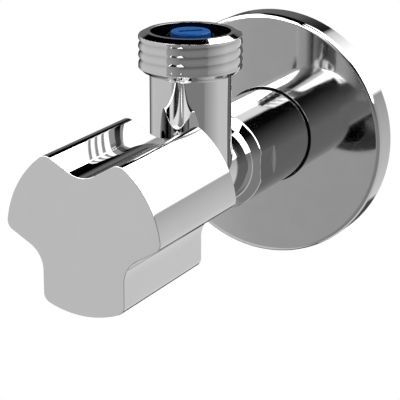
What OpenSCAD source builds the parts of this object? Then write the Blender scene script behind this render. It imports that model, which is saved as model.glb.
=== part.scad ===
// Angle valve of the kind that stands under a basin: a chromed body that screws into the wall, a round
// wall plate that slides on its shank, a three-lobed handle with its headwork, and a check valve in the
// upright outlet. The body's axis is the Y axis, the wall is the plane y = 0 and the user is at -Y.
// Lengths along the body are distances from the wall towards the user, so the thread is below zero.

/* [Reach] */
// distance of the outlet's axis from the wall
outlet_reach = 42.5; // [42:0.5:48]
// height of the outlet's rim above the body's axis
outlet_height = 30.15; // [29.8:0.05:36]

/* [Body] */
// diameter of both pipe threads
thread_dia = 20.955; // [20.8:0.005:21.4]
// length of the thread that goes into the wall
inlet_thread_len = 13.5; // [10:0.5:16]
// diameter of the smooth shank that the wall plate slides on
shank_dia = 20.8; // [20.2:0.1:21.4]
// distance from the shank's front end to the outlet's axis
waist_len = 12.5; // [12.2:0.1:14.5]
// distance from the outlet's axis to the barrel's front
front_len = 13.5; // [13.3:0.1:16]
// width across the two flats that a wrench takes
wrench_width = 19.86; // [19:0.02:20]
// length of each flat along the shank
wrench_len = 6.4; // [4:0.1:8]
// diameter of the barrel that holds the headwork
barrel_dia = 17; // [16.8:0.1:18]
// diameter of the upright neck
neck_dia = 16.5; // [16.2:0.1:16.8]
// height of the outlet's thread, its small cone and chamfer left out
outlet_thread_len = 6.5; // [6:0.1:7.4]

/* [Waterway] */
// diameter of the bore from the wall
inlet_bore = 12; // [10:0.1:13]
// diameter of the hole in the seat
seat_bore = 8; // [7.4:0.1:8.4]
// diameter of the chamber behind the seat
chamber_bore = 12; // [11.6:0.1:12.6]
// diameter of the wide bore in the outlet
outlet_bore = 16.16; // [15.8:0.02:16.6]

/* [Wall plate] */
// diameter of the wall plate
plate_dia = 54; // [48:0.5:70]
// depth of the wall plate
plate_depth = 6.1; // [5.6:0.1:10]
// radius of the wall plate's front edge
plate_edge = 1.7; // [0.8:0.1:2.2]
// thickness of the wall plate's metal
plate_wall = 1.2; // [0.8:0.1:1.4]
// gap between the wall plate's hole and the shank
plate_gap = 0.35; // [0.3:0.05:0.6]

/* [Handle] */
// length of the handle
handle_len = 31.2; // [30:0.1:32]
// length of the barrel's front that the handle covers
handle_overlap = 1.3; // [0.6:0.1:3]
// radius of the handle at the middle of a lobe
lobe_reach = 15.95; // [15.4:0.05:17.5]
// radius of the curve across the end of a lobe
lobe_curve = 19.2; // [18:0.1:26]
// width of a lobe between its two flat sides
lobe_width = 17.3; // [17:0.05:17.6]
// radius of the rounding between a lobe's end and its sides
lobe_corner = 2; // [1.4:0.1:2.4]
// thickness of the handle's metal at the bottom of a groove
handle_wall = 2.05; // [1.8:0.05:2.3]
// thickness of the handle's front
face_thickness = 3.5; // [2.5:0.1:4.5]

/* [Headwork] */
// travel of the seat washer from closed to open
stroke = 3.75; // [3:0.05:3.9]
// diameter of the spindle in its bearing
spindle_dia = 6.4; // [6:0.1:6.8]
// diameter of the spindle's thread
lift_thread_dia = 5.9; // [5.4:0.1:6]
// width across the flats of the headwork's hexagon
hexagon_width = 15; // [14:0.1:15.6]

/* [Check valve] */
// diameter of the blue hub in the outlet
hub_dia = 8; // [7.6:0.1:8.4]
// travel of the check valve's plunger
plunger_lift = 3; // [2:0.1:3.1]
// diameter of the cartridge's passage in the neck
cartridge_bore = 13; // [12.8:0.1:13.2]
// length of that passage
cartridge_len = 12.6; // [12:0.1:13]
// direction of the slot in the hub, turned from +X towards +Y
slot_turn = 42; // [0:1:90]
// length of the slot in the hub
slot_len = 5; // [4:0.1:6]
// width of the slot in the hub
slot_width = 1.4; // [1:0.1:1.8]

/* [Hidden] */
$fn = 96;
eps = 0.2;
run_gap = 0.05;
sleeve_gap = 0.03;
seat_gap = 0.02;
push_gap = 0.02;
blend = 0;
free_gap = 0.3;

thread_r = thread_dia / 2;
shank_r = shank_dia / 2;
barrel_r = barrel_dia / 2;
neck_r = neck_dia / 2;
plate_r = plate_dia / 2;
wide_bore_r = outlet_bore / 2;
chamber_r = chamber_bore / 2;
seat_hole_r = seat_bore / 2;

// the body's front face and the places along its bore
body_front = outlet_reach + front_len;
shank_end = outlet_reach - waist_len;
web_back = shank_end + 2.5;
chamber_back = shank_end + 5.3;
lip_height = 1.2;
lip_front = chamber_back + lip_height;
lip_wall = 1;
socket_back = outlet_reach + 6.5;
socket_r = barrel_r - 1.5;
undercut_r = socket_r - 0.85;
thread_end = 0.4;
relief_r = thread_r - 1.08;
relief_len = 1.2;
shoulder_len = 0.8;

// the outlet
thread_top = outlet_height - 0.75;
thread_bottom = thread_top - outlet_thread_len;
neck_top = thread_bottom - 1.3;
rim_r = thread_r - 1.44;
ledge_z = outlet_height - 6.95;
cartridge_r = cartridge_bore / 2;
cartridge_z = ledge_z - cartridge_len;
feed_r = cartridge_r - 1.1;
clip_z = ledge_z + 1.25;
clip_height = 0.6;
clip_groove_r = wide_bore_r + 0.5;
clip_gap = 3.2;
clip_turn = 250;

// the wall plate
plate_hole_r = shank_r + plate_gap;
plate_inside = plate_depth - plate_wall;
holder_r = plate_hole_r + 1.45;
holder_wall = 1;
grip_len = 1.8;
holder_back = plate_inside - grip_len - 0.3;

// the handle
handle_back = body_front - handle_overlap;
handle_face = handle_back + handle_len;
cavity_r = barrel_r + free_gap;
groove_r = cavity_r + handle_wall;
groove_curve = (groove_r * sin(60) - lobe_width / 2) / (1 - sin(60));
groove_centre = groove_r + groove_curve;
lobe_centre = lobe_reach - lobe_curve;
lobe_turns = [30, 150, 270];
cavity_front = handle_face - face_thickness;
pocket_r = 4.4;
pocket_depth = handle_len - face_thickness - 1;
pocket_centre = lobe_reach - 2 - pocket_r;
hub_wall = 1.6;
rib_width = 2;

// the rounding touches the curve of the lobe's end and the lobe's flat side
lobe_side = lobe_curve - lobe_corner;
round_across = lobe_width / 2 - lobe_corner;
round_at = [lobe_centre + sqrt(lobe_side * lobe_side - round_across * round_across), round_across];
lobe_touch = [lobe_centre + (round_at[0] - lobe_centre) * lobe_curve / lobe_side,
  round_across * lobe_curve / lobe_side];
side_touch = [round_at[0], lobe_width / 2];
corner_out = round_at + (lobe_touch + side_touch - 2 * round_at) * 1.6;

// the headwork
hexagon_back = body_front;
hexagon_front = hexagon_back + 4.3;
bearing_back = hexagon_front - 0.4;
tower_front = hexagon_front + 5.7;
tower_r = 5.6;
nose_back = socket_back + 0.3;
undercut_len = 1.1;
ring_bar = (socket_r - undercut_r) / 2;
guide_r = undercut_r - 1.15;
key_r = guide_r + 0.9;
key_width = 2;
key_front = body_front - undercut_len - 0.1;

bearing_r = spindle_dia / 2;
screw_r = lift_thread_dia / 2;
collar_r = guide_r - 0.6;
collar_len = 1.3;
collar_front = bearing_back - 0.55;
washer_len = 0.45;
groove_deep = 0.72;
seal_bar = 0.38;
seal_rear_at = bearing_back + 1.9;
seal_front_at = seal_rear_at + 2.4;
groove_width = 0.95;
clip_at = tower_front + 0.1;
clip_groove_len = 0.7;
circlip_gap = 2.2;
spline_back = tower_front + 2;
spline_front = spline_back + 10;
tooth_count = 8;
tooth_width = 1;
spline_core = bearing_r - 0.5;
spline_r = bearing_r - 0.05;

insert_r = 5.25;
insert_back = spline_back - 0.7;
insert_flange = 1;
insert_flange_r = 6.2;
insert_front = spline_front + 1.5;
key_rib = 0.65;
key_rib_width = 1.6;
hub_back = insert_back + insert_flange + 0.3;

// the piston, which does not turn and rides on the spindle's thread
washer_thick = 1.38;
washer_front = lip_front + seat_gap + washer_thick;
washer_r = chamber_r - 1.2;
head_r = chamber_r - 1;
head_front = washer_front + 1.4;
piston_neck_r = screw_r + 1.25;
piston_front = body_front - 2;
tip_at = socket_back - 2;
blind_back = tip_at - stroke - 0.55;
guide_back = socket_back - 1.5;
ear_back = nose_back + 0.3;
ear_len = key_front - ear_back - stroke - 0.3;
bolt_r = 1.5;
bolt_hole_r = 1.55;
bolt_front = blind_back - 1.7;
bolt_head_r = 2.8;
bolt_head = 1.4;

// the check valve
skirt_r = cartridge_r - 0.1;
skirt_wall = 0.65;
flange_r = wide_bore_r - 0.18;
flange_len = 1.2;
hub_r = hub_dia / 2;
hub_bore_r = hub_r - 1.5;
hub_top = outlet_height - 0.05;
hub_bottom = ledge_z - 2.7;
hub_roof = hub_top - 1.8;
slot_depth = 0.8;
web_width = 1.1;
seat_z = cartridge_z + 3.4;
seat_ring_hole = skirt_r - 2.8;
ring_groove_z = cartridge_z + 1.8;
cartridge_bar = 0.42;
seal_r = seat_ring_hole + 1.1;
seal_thick = 0.96;
disc_z = seat_z + seat_gap + seal_thick;
disc_r = skirt_r - skirt_wall - 0.85;
disc_thick = 1;
stem_r = 1.1;
stem_top = hub_roof - plunger_lift - 0.3;
nose_r = 1.6;
lip_r = seat_ring_hole - 1;
spring_r = hub_bore_r - 0.6;
wire_r = 0.2;
spring_turns = 8;
spring_steps = 20;
wire_sides = 8;

chrome = [0.78, 0.79, 0.8];
brass = [0.78, 0.64, 0.36];
steel = [0.62, 0.63, 0.64];
rubber = [0.09, 0.09, 0.1];
blue = [0.04, 0.3, 0.66];
white_plastic = [0.86, 0.86, 0.84];
grey_plastic = [0.45, 0.46, 0.48];

// turns what is built upwards so that its height becomes the distance from the wall
module from_wall(distance) {
  rotate([90, 0, 0]) translate([0, 0, distance]) children();
}

// places what is built on the outlet's axis
module at_outlet(height) {
  translate([0, -outlet_reach, height]) children();
}

module tube(outer_r, inner_r, length) {
  difference() {
    cylinder(r = outer_r, h = length);
    translate([0, 0, -eps]) cylinder(r = inner_r, h = length + 2 * eps);
  }
}

module turned(points) {
  rotate_extrude() polygon(points);
}

module round_ring(middle_r, bar_r) {
  rotate_extrude() translate([middle_r, 0]) circle(r = bar_r, $fn = 32);
}

module body_outline() {
  turned([
    [0, -inlet_thread_len],
    [thread_r - 1.3, -inlet_thread_len],
    [thread_r, -inlet_thread_len + 1.3],
    [thread_r, thread_end],
    [relief_r, thread_end + 0.5],
    [relief_r, thread_end + 0.5 + relief_len],
    [shank_r, thread_end + 1 + relief_len],
    [shank_r, shank_end - 0.1],
    [shank_r - 0.3, shank_end + 0.1],
    [barrel_r + 0.45, shank_end + shoulder_len],
    [barrel_r + 0.12, shank_end + shoulder_len + 0.4],
    [barrel_r, shank_end + shoulder_len + 0.9],
    [barrel_r, body_front - 0.4],
    [barrel_r - 0.4, body_front],
    [0, body_front]
  ]);
}

module outlet_outline() {
  turned([
    [0, 0],
    [neck_r, 0],
    [neck_r, neck_top],
    [thread_r - 0.9, neck_top + 0.5],
    [thread_r, thread_bottom],
    [thread_r, thread_top],
    [rim_r, outlet_height],
    [0, outlet_height]
  ]);
}

module body_hollow() {
  turned([
    [0, -inlet_thread_len - eps],
    [inlet_bore / 2, -inlet_thread_len - eps],
    [inlet_bore / 2, web_back],
    [seat_hole_r, web_back + 1],
    [seat_hole_r, lip_front],
    [seat_hole_r + lip_wall, lip_front],
    [seat_hole_r + lip_wall + 0.3, chamber_back],
    [chamber_r, chamber_back],
    [chamber_r, socket_back],
    [socket_r, socket_back],
    [socket_r, body_front + eps],
    [0, body_front + eps]
  ]);
}

module outlet_hollow() {
  turned([
    [0, 0],
    [feed_r, 0],
    [feed_r, cartridge_z],
    [cartridge_r, cartridge_z],
    [cartridge_r, ledge_z],
    [wide_bore_r, ledge_z],
    [wide_bore_r, clip_z - push_gap],
    [clip_groove_r, clip_z - push_gap],
    [clip_groove_r, clip_z + clip_height + push_gap],
    [wide_bore_r, clip_z + clip_height + push_gap],
    [wide_bore_r, outlet_height + eps],
    [0, outlet_height + eps]
  ]);
}

module wrench_flat() {
  translate([wrench_width / 2, -shank_r, shank_end - wrench_len])
    cube([shank_r, 2 * shank_r, wrench_len + 1]);
}

module valve_body() {
  color(chrome)
  difference() {
    union() {
      from_wall(0) body_outline();
      at_outlet(0) outlet_outline();
    }
    from_wall(0) body_hollow();
    at_outlet(0) outlet_hollow();
    from_wall(0) wrench_flat();
    from_wall(0) mirror([1, 0, 0]) wrench_flat();
  }
}

module plate_section() {
  difference() {
    union() {
      translate([plate_hole_r, plate_inside]) square([plate_r - plate_edge - plate_hole_r, plate_wall]);
      translate([plate_r - plate_wall, 0]) square([plate_wall, plate_depth - plate_edge]);
      translate([plate_r - plate_edge, plate_depth - plate_edge]) circle(r = plate_edge, $fn = 48);
      translate([holder_r, holder_back]) square([holder_wall, plate_inside - holder_back + 0.1]);
      translate([plate_r - plate_wall - 1, plate_inside - 1]) square([1.2, 1.2]);
    }
    translate([plate_r - plate_wall - 1 - 2 * plate_edge, plate_inside - 2 * plate_edge - 1])
      square([2 * plate_edge + 1, 2 * plate_edge + 1]);
  }
}

module rosette() {
  color(chrome) from_wall(0) rotate_extrude() plate_section();
}

module rosette_grip_ring() {
  color(rubber) from_wall(plate_inside - grip_len) tube(holder_r - push_gap, shank_r + sleeve_gap, grip_len);
}

// one lobe's rounded corner: the sharp tip goes and a disc takes its place; side is 1 or -1
module corner_tip(side) {
  polygon([
    [lobe_touch[0], side * lobe_touch[1]],
    [corner_out[0], side * corner_out[1]],
    [side_touch[0], side * side_touch[1]]
  ]);
}

module corner_disc(side) {
  translate([round_at[0], side * round_at[1]]) circle(r = lobe_corner + blend, $fn = 48);
}

// a groove's round bottom, and the space beyond it between the flat sides of two lobes
module groove_cut() {
  bottom = [groove_centre - groove_curve * sin(60), groove_curve * cos(60)];
  far = bottom + lobe_curve * [cos(60), sin(60)];
  translate([groove_centre, 0]) circle(r = groove_curve);
  polygon([[bottom[0], -bottom[1]], [far[0], -far[1]], far, bottom]);
}

module handle_section() {
  difference() {
    intersection_for(turn = lobe_turns)
      rotate(turn) translate([lobe_centre, 0]) circle(r = lobe_curve);
    for (turn = lobe_turns)
      rotate(turn + 60) groove_cut();
    for (turn = lobe_turns, side = [-1, 1])
      rotate(turn) corner_tip(side);
  }
  for (turn = lobe_turns, side = [-1, 1])
    rotate(turn) corner_disc(side);
}

module handle_hollow() {
  difference() {
    union() {
      translate([0, 0, -eps]) cylinder(r = cavity_r, h = cavity_front - handle_back + eps);
      for (turn = lobe_turns)
        rotate(turn) translate([pocket_centre, 0, -eps]) cylinder(r = pocket_r, h = pocket_depth + eps);
    }
    translate([0, 0, hub_back - handle_back]) cylinder(r = insert_r + hub_wall, h = handle_len);
    for (turn = lobe_turns)
      rotate(turn + 60) translate([insert_r + 0.8, -rib_width / 2, hub_back - handle_back])
        cube([cavity_r, rib_width, handle_len]);
  }
  translate([0, 0, hub_back - handle_back - eps])
    cylinder(r = insert_r + push_gap, h = insert_front - hub_back + 0.3 + eps);
  translate([0, -key_rib_width / 2 - push_gap, hub_back - handle_back - eps])
    cube([insert_r + key_rib + push_gap, key_rib_width + 2 * push_gap, insert_front - hub_back + 0.3 + eps]);
}

module handle() {
  color(chrome)
  from_wall(handle_back)
  difference() {
    linear_extrude(height = handle_len) handle_section();
    handle_hollow();
  }
}

module spline_section(gap) {
  circle(r = spline_core + gap);
  for (k = [0 : tooth_count - 1])
    rotate(k * 360 / tooth_count)
      translate([0, -tooth_width / 2 - gap]) square([spline_r + gap, tooth_width + 2 * gap]);
}

module handle_insert() {
  color(grey_plastic)
  from_wall(insert_back)
  difference() {
    union() {
      cylinder(r = insert_r, h = insert_front - insert_back);
      cylinder(r = insert_flange_r, h = insert_flange);
      translate([0, -key_rib_width / 2, 0])
        cube([insert_r + key_rib, key_rib_width, insert_front - insert_back]);
    }
    translate([0, 0, -eps])
      linear_extrude(height = spline_front - insert_back + 0.3 + eps) spline_section(push_gap);
    translate([0, 0, -eps]) cylinder(r = spline_r + push_gap, h = spline_back - insert_back + eps);
  }
}

module spindle() {
  color(brass)
  from_wall(0)
  union() {
    turned([
      [0, tip_at],
      [screw_r - 0.6, tip_at],
      [screw_r, tip_at + 0.6],
      [screw_r, collar_front - collar_len],
      [collar_r, collar_front - collar_len],
      [collar_r, collar_front],
      [bearing_r, collar_front],
      [bearing_r, seal_rear_at - groove_width / 2],
      [bearing_r - groove_deep, seal_rear_at - groove_width / 2],
      [bearing_r - groove_deep, seal_rear_at + groove_width / 2],
      [bearing_r, seal_rear_at + groove_width / 2],
      [bearing_r, seal_front_at - groove_width / 2],
      [bearing_r - groove_deep, seal_front_at - groove_width / 2],
      [bearing_r - groove_deep, seal_front_at + groove_width / 2],
      [bearing_r, seal_front_at + groove_width / 2],
      [bearing_r, clip_at],
      [bearing_r - 0.5, clip_at],
      [bearing_r - 0.5, clip_at + clip_groove_len],
      [bearing_r, clip_at + clip_groove_len],
      [bearing_r, spline_back],
      [spline_core, spline_back],
      [spline_core, spline_front - 0.4],
      [spline_core - 0.4, spline_front],
      [0, spline_front]
    ]);
    translate([0, 0, spline_back - 0.1])
      linear_extrude(height = spline_front - spline_back - 0.5) spline_section(0);
  }
}

module spindle_o_ring_rear() {
  color(rubber) from_wall(seal_rear_at) round_ring(bearing_r - groove_deep + seal_bar + 0.005, seal_bar);
}

module spindle_o_ring_front() {
  color(rubber) from_wall(seal_front_at) round_ring(bearing_r - groove_deep + seal_bar + 0.005, seal_bar);
}

module thrust_washer() {
  color(white_plastic) from_wall(collar_front + push_gap) tube(collar_r, bearing_r + push_gap, washer_len);
}

module spindle_circlip() {
  color(steel)
  from_wall(clip_at + 0.05)
  difference() {
    cylinder(r = bearing_r + 1, h = clip_groove_len - 0.1);
    translate([0, 0, -eps]) cylinder(r = bearing_r - 0.48, h = clip_groove_len + eps);
    translate([0, -circlip_gap / 2, -eps]) cube([bearing_r + 2, circlip_gap, clip_groove_len + 2 * eps]);
  }
}

module bonnet_outline() {
  turned([
    [0, nose_back],
    [socket_r - 0.5, nose_back],
    [socket_r - push_gap, nose_back + 0.5],
    [socket_r - push_gap, body_front - undercut_len],
    [undercut_r, body_front - undercut_len],
    [undercut_r, hexagon_back + 0.1],
    [tower_r, hexagon_back + 0.1],
    [tower_r, tower_front - 0.4],
    [tower_r - 0.4, tower_front],
    [0, tower_front]
  ]);
}

module hexagon() {
  intersection() {
    translate([0, 0, hexagon_back])
      cylinder(r = hexagon_width / 2 / cos(30), h = hexagon_front - hexagon_back, $fn = 6);
    turned([
      [0, hexagon_back],
      [hexagon_width / 2 - 0.1, hexagon_back],
      [hexagon_width / 2 + 0.9, hexagon_back + 0.8],
      [hexagon_width / 2 + 0.9, hexagon_front - 0.8],
      [hexagon_width / 2 - 0.1, hexagon_front],
      [0, hexagon_front]
    ]);
  }
}

module bonnet() {
  color(brass)
  from_wall(0)
  difference() {
    union() {
      bonnet_outline();
      hexagon();
    }
    translate([0, 0, nose_back - eps]) cylinder(r = guide_r, h = bearing_back - nose_back + eps);
    translate([0, 0, nose_back]) cylinder(r = bearing_r + run_gap, h = tower_front - nose_back + eps);
    translate([-key_r, -key_width / 2, nose_back - eps])
      cube([2 * key_r, key_width, key_front - nose_back + eps]);
  }
}

module bonnet_o_ring() {
  color(rubber) from_wall(body_front - undercut_len / 2) round_ring(undercut_r + ring_bar, ring_bar - 0.01);
}

module piston() {
  color(brass)
  from_wall(0)
  difference() {
    union() {
      turned([
        [0, washer_front],
        [head_r, washer_front],
        [head_r, head_front - 0.4],
        [piston_neck_r, head_front],
        [piston_neck_r, guide_back - 0.6],
        [guide_r - run_gap, guide_back],
        [guide_r - run_gap, piston_front],
        [0, piston_front]
      ]);
      translate([-key_r + 0.1, -key_width / 2 + 0.08, ear_back])
        cube([2 * key_r - 0.2, key_width - 0.16, ear_len]);
    }
    translate([0, 0, blind_back]) cylinder(r = screw_r + run_gap, h = piston_front - blind_back + eps);
    translate([0, 0, washer_front - eps])
      cylinder(r = bolt_hole_r, h = bolt_front + 0.3 - washer_front + eps);
  }
}

module seat_washer() {
  color(rubber) from_wall(lip_front + seat_gap) tube(washer_r, bolt_hole_r, washer_thick);
}

module washer_screw() {
  color(steel)
  from_wall(0)
  difference() {
    union() {
      translate([0, 0, lip_front - bolt_head]) cylinder(r = bolt_head_r, h = bolt_head);
      translate([0, 0, lip_front - 0.5]) cylinder(r = bolt_r, h = bolt_front - lip_front + 0.5);
    }
    translate([-bolt_head_r - eps, -0.35, lip_front - bolt_head - eps])
      cube([2 * bolt_head_r + 2 * eps, 0.7, 0.6 + eps]);
  }
}

module check_cage() {
  color(blue)
  at_outlet(0)
  difference() {
    union() {
      translate([0, 0, ledge_z]) tube(flange_r, skirt_r - skirt_wall, flange_len);
      translate([0, 0, seat_z]) tube(skirt_r, skirt_r - skirt_wall, ledge_z - seat_z + 0.1);
      turned([
        [0, hub_bottom],
        [hub_r, hub_bottom],
        [hub_r, hub_top - 0.5],
        [hub_r - 0.5, hub_top],
        [0, hub_top]
      ]);
      for (turn = [0, 120, 240])
        rotate(turn + slot_turn)
          translate([hub_r - 0.5, -web_width / 2, hub_bottom])
            cube([skirt_r - hub_r + 0.2, web_width, ledge_z + flange_len - hub_bottom]);
    }
    translate([0, 0, hub_bottom - eps]) cylinder(r = hub_bore_r, h = hub_roof - hub_bottom + eps);
    rotate(slot_turn) translate([-slot_len / 2, -slot_width / 2, hub_top - slot_depth])
      cube([slot_len, slot_width, slot_depth + eps]);
  }
}

module check_seat_ring() {
  color(white_plastic)
  at_outlet(cartridge_z + 0.05)
  difference() {
    tube(skirt_r, seat_ring_hole, seat_z - cartridge_z - 0.05);
    translate([0, 0, ring_groove_z - cartridge_z - 0.55]) tube(skirt_r + 1, skirt_r - 0.8, 1);
  }
}

module check_o_ring() {
  color(rubber) at_outlet(ring_groove_z) round_ring(cartridge_r - cartridge_bar - 0.01, cartridge_bar);
}

module check_plunger() {
  color(grey_plastic)
  at_outlet(0)
  turned([
    [0, seat_z - 1],
    [lip_r, seat_z - 1],
    [lip_r, seat_z - 0.4],
    [nose_r, seat_z - 0.4],
    [nose_r, disc_z],
    [disc_r, disc_z],
    [disc_r, disc_z + disc_thick],
    [stem_r, disc_z + disc_thick],
    [stem_r, stem_top - 0.3],
    [stem_r - 0.3, stem_top],
    [0, stem_top]
  ]);
}

module check_seal() {
  color(rubber) at_outlet(seat_z + seat_gap) tube(seal_r, nose_r + push_gap, seal_thick);
}

// the wire's skin: one ring of points for each step along the coil, with both ends closed
spring_bottom = disc_z + disc_thick + wire_r + seat_gap;
spring_rise = hub_roof - wire_r - seat_gap - spring_bottom;
ring_total = spring_turns * spring_steps;
spring_points = [
  for (k = [0 : ring_total])
    for (s = [0 : wire_sides - 1])
      let (turn = 360 * k / spring_steps, side = 360 * s / wire_sides, reach = spring_r + wire_r * cos(side))
        [reach * cos(turn), reach * sin(turn),
         spring_bottom + spring_rise * k / ring_total + wire_r * sin(side)]
];
spring_sides = [
  for (k = [0 : ring_total - 1])
    for (s = [0 : wire_sides - 1])
      let (n = (s + 1) % wire_sides)
        [k * wire_sides + s, (k + 1) * wire_sides + s, (k + 1) * wire_sides + n, k * wire_sides + n]
];
spring_first = [for (s = [0 : wire_sides - 1]) s];
spring_last = [for (s = [wire_sides - 1 : -1 : 0]) ring_total * wire_sides + s];

module check_spring() {
  color(steel) at_outlet(0)
    polyhedron(points = spring_points, faces = concat(spring_sides, [spring_first], [spring_last]));
}

module outlet_clip() {
  color(steel)
  at_outlet(clip_z)
  difference() {
    cylinder(r = clip_groove_r - 0.08, h = clip_height);
    translate([0, 0, -eps]) cylinder(r = wide_bore_r - 0.9, h = clip_height + 2 * eps);
    rotate(clip_turn) translate([0, -clip_gap / 2, -eps])
      cube([clip_groove_r + 1, clip_gap, clip_height + 2 * eps]);
  }
}

valve_body();
rosette();
rosette_grip_ring();
handle();
handle_insert();
spindle();
spindle_o_ring_rear();
spindle_o_ring_front();
thrust_washer();
spindle_circlip();
bonnet();
bonnet_o_ring();
piston();
seat_washer();
washer_screw();
check_cage();
check_seat_ring();
check_o_ring();
check_plunger();
check_seal();
check_spring();
outlet_clip();
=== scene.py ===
import math
import bpy
import numpy as np
from mathutils import Euler, Matrix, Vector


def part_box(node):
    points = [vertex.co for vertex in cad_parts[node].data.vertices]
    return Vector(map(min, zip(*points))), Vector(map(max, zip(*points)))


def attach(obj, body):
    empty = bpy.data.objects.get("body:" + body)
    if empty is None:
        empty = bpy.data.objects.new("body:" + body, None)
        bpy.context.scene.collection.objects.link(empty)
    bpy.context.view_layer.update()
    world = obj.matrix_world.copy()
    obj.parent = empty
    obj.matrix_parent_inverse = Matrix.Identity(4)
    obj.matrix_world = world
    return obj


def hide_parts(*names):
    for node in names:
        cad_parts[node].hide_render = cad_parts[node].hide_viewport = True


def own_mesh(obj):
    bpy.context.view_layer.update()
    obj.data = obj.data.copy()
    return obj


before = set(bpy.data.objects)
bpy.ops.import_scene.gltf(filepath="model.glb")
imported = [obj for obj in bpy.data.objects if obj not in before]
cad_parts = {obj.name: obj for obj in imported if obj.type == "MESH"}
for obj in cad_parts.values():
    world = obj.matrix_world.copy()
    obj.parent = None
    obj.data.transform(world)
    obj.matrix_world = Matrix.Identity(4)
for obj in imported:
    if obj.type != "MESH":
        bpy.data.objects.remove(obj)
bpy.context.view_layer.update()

# Shapes are worked out in millimetres and turned into metres when a mesh is made. Distances along the
# body count from the wall towards the user, so a point at distance d has y = -d. Heights are z. A
# profile's corner is (place, radius, rounding), where place is a distance or, on the outlet, a height.
MM = 0.001
FULL = 2 * math.pi
QUARTER = math.pi / 2

# how finely shapes are divided: the degrees between two points of a rounding, the most of a side that a
# rounding takes, how far beside it the point lies that keeps the next stretch straight, and the points
# once round an axis
ARC_STEP = 9.0
ARC_SHARE = 0.45
SUPPORT = 0.03
AROUND_BODY = 216
AROUND_OUTLET = 240
AROUND_PLATE = 360
AROUND_HUB = 240
AROUND_RING = 192

# the body, with its valve seat, the shank with two wrench flats, and the thread to the wall
OUTLET_REACH = 42.5
BODY_FRONT = 56.0
BARREL_R = 8.5
SOCKET_R = 7.0
SOCKET_BACK = 49.0
CHAMBER_R = 6.0
SEAT_R = 4.0
SEAT_BACK = 33.5
SEAT_RAMP = 1.0
SEAT_FACE = 36.5
SEAT_HEIGHT = 1.2
SEAT_WIDTH = 1.0
SEAT_TAPER = 0.3
SHANK_R = 10.4
SHANK_END = 30.0
SHOULDER_END = 31.1
SHOULDER_CURVE = 0.45
FLAT_HALF = 9.93
FLAT_BACK = 23.6
THREAD_R = 10.4775
PITCH = 1.814
THREAD_CURVE = 1.05
INLET_END = -13.5
INLET_CHAMFER = 1.3
UNDERCUT_BACK = 0.4
UNDERCUT_FRONT = 2.6
UNDERCUT_SLOPE = 0.5
UNDERCUT_R = 9.4

# the outlet; a crest of its thread passes CREST_Z at the angle CREST_TURN
NECK_R = 8.25
NECK_TOP = 21.5
TEE_CURVE = 1.2
TEE_SUNK = 0.3
COLLAR_Z = 22.1
COLLAR_R = 9.6
THREAD_BOTTOM = 22.9
THREAD_TOP = 29.4
RUN_OUT = 0.9
CREST_Z = 28.1
CREST_TURN = math.radians(27)
OUTLET_TOP = 30.15
RIM_R = 9.04
BORE_R = 8.08
CLIP_GROOVE_R = 8.58
CLIP_GROOVE_TOP = 25.07
CLIP_GROOVE_BOTTOM = 24.43
LEDGE_Z = 23.2
CARTRIDGE_R = 6.5
CARTRIDGE_Z = 10.6
FEED_R = 5.4
FEED_Z = 9.0
FOOT_R = 7.8

# the wall plate
PLATE_R = 27.0
PLATE_DEPTH = 6.1
PLATE_EDGE = 1.0
PLATE_CORNER = 0.15
PLATE_HOLE_R = 10.75
PLATE_WALL = 1.2
HOLDER_R = 12.2
HOLDER_WALL = 1.0
HOLDER_BACK = 2.8

# the handle
HANDLE_BACK = 54.7
FACE = 85.9
LOBE_REACH = 15.95
LOBE_CURVE = 19.2
LOBE_HALF = 8.65
LOBE_CORNER = 2.0
GROOVE_R = 10.85
LOBE_TURN = math.radians(30)
FACE_EDGE = 0.12
REAR_EDGE = 0.2
MOUTH_EDGE = 0.1
FLOOR_EDGE = 0.2
CAVITY_R = 8.8
CAVITY_FRONT = 82.4
POCKET_R = 4.4
POCKET_CENTRE = 9.5
POCKET_FRONT = 81.4
HUB_BACK = 68.6
HUB_FRONT = CAVITY_FRONT + 0.2
HUB_R = 6.85
HUB_BORE_R = 5.27
RIB_START = 6.0
RIB_END = 9.9
RIB_HALF = 1.0

# the cage of the check valve
CAGE_HUB_R = 4.0
CAGE_HUB_TOP = 30.1
CAGE_HUB_BOTTOM = 20.5
CAGE_HUB_ROOF = 28.3
CAGE_HUB_BORE = 2.5
CAGE_HUB_EDGE = 0.35
CAGE_HUB_FOOT = 0.2
BORE_EDGE = 0.1
SLOT_LENGTH = 5.0
SLOT_WIDTH = 1.4
SLOT_DEPTH = 0.8
SLOT_CORNER = 0.3
SLOT_LIP = 0.1
SLOT_FOOT = 0.05
SLOT_TURN = math.radians(42)
SKIRT_R = 6.4
SKIRT_HOLE_R = 5.75
SKIRT_BOTTOM = 14.0
FLANGE_R = 7.9
FLANGE_TOP = 24.4
WEB_START = 3.6
WEB_END = 6.1
WEB_HALF = 0.55
WEB_TOP = FLANGE_TOP - 0.1
BAR_EDGE = 0.2

# the check valve's spring
SPRING_R = 1.9
WIRE_R = 0.2
SPRING_TURNS = 8


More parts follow.
